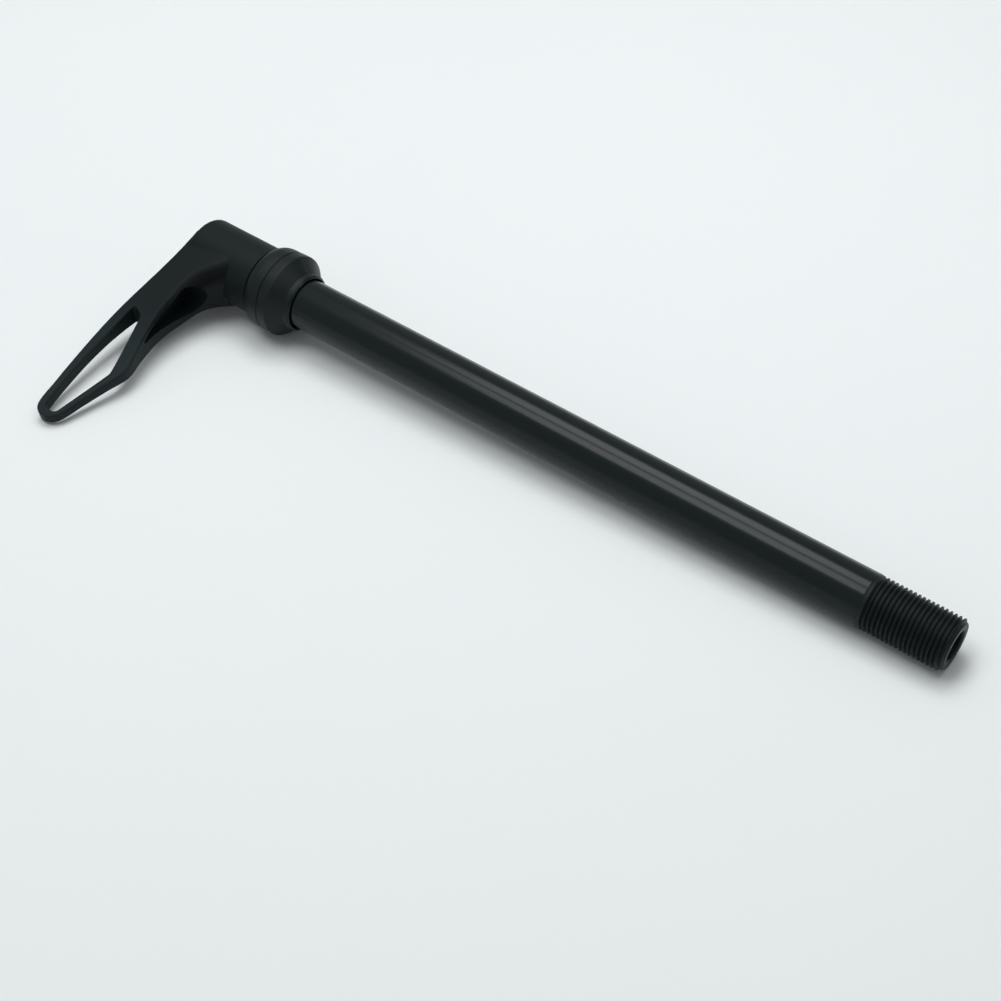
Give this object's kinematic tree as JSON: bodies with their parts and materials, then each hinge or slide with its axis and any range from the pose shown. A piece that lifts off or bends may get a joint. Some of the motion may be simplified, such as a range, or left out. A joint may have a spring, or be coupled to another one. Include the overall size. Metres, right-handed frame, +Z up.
{
  "type": "lever thru axle",
  "caption": "Black lever thru axle for a bicycle wheel: long hollow shaft with a threaded end, flange with a loose cone ring, and a slotted hand lever that pulls out to be re-indexed.",
  "frame": {"origin": "on the axle's axis at the front edge of the cone ring, where the plain shaft starts", "axes": "+X along the axle to the threaded tip, +Z up as the part lies, the lever's arm towards -Y and a little down"},
  "size_m": [0.2034, 0.0692, 0.02],
  "materials": {
    "anodised": "turned, satin black anodised",
    "cast_black": "blasted, satin black anodised",
    "steel": "plain",
    "rubber": "plain",
    "cap": "satin"
  },
  "bodies": {
    "axle": {"axle": "anodised", "retaining_screw": "steel", "spring_seat_washer": "steel", "spring": "steel"},
    "lever_stage": {"thrust_washer": "steel"},
    "lever": {"lever": "cast_black", "end_cap": "cap"},
    "cone_ring": {"cone_ring": "anodised", "ring_o_ring": "rubber"}
  },
  "joints": [
    {"name": "lever_pull", "type": "slide", "parent": "axle", "child": "lever_stage", "axis": [-1, 0, 0], "range_m": [0, 0.0039], "stiffness_N_per_m": 1500, "springref_m": -0.003, "deforming": ["spring"]},
    {"name": "lever_index", "type": "hinge", "parent": "lever_stage", "child": "lever", "pos_m": [0, 0, 0], "axis": [1, 0, 0], "continuous": true},
    {"name": "collar_spin", "type": "hinge", "parent": "axle", "child": "cone_ring", "pos_m": [0, 0, 0], "axis": [1, 0, 0], "continuous": true}
  ]
}
